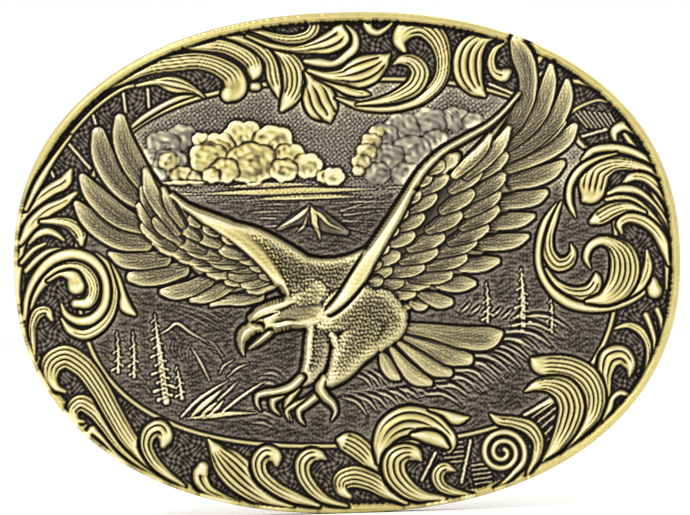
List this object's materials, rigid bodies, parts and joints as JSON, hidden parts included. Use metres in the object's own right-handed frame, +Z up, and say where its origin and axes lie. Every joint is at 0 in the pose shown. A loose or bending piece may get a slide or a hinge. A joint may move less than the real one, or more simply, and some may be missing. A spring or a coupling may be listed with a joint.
{
  "type": "belt buckle",
  "caption": "Oval western-style dress buckle with a relief eagle over a mountain landscape, a scrollwork border, a swinging wire belt loop and a hook on the back.",
  "frame": {"origin": "middle of the plate's curved back face, where the belt end lies against it", "axes": "as worn: +Z up, the relief looks along -Y, the wearer's body is on the +Y side, +X runs across the waist towards the belt loop"},
  "size_m": [0.093, 0.0175, 0.0694],
  "materials": {
    "antique_plate": "antiqued, dark patina in the recesses and rubbed bright on the high points",
    "relief_brass": "antiqued and relieved, bright on the ridges",
    "fitting_brass": "satin, lightly antiqued",
    "wire_brass": "drawn wire, satin with handling marks"
  },
  "bodies": {
    "buckle": {"face_plate": "antique_plate", "edge_wire": "relief_brass", "scroll_border": "relief_brass", "eagle": "relief_brass", "hinge_clip": "fitting_brass", "hinge_rivets": "fitting_brass", "hook_washer": "fitting_brass", "hook_peg": "wire_brass"},
    "loop": {"belt_loop": "wire_brass"}
  },
  "joints": [
    {"name": "loop_swing", "type": "hinge", "parent": "buckle", "child": "loop", "pos_m": [0.019, 0.0044, 0], "axis": [0, 0, 1], "range_deg": [-3, 190]}
  ]
}
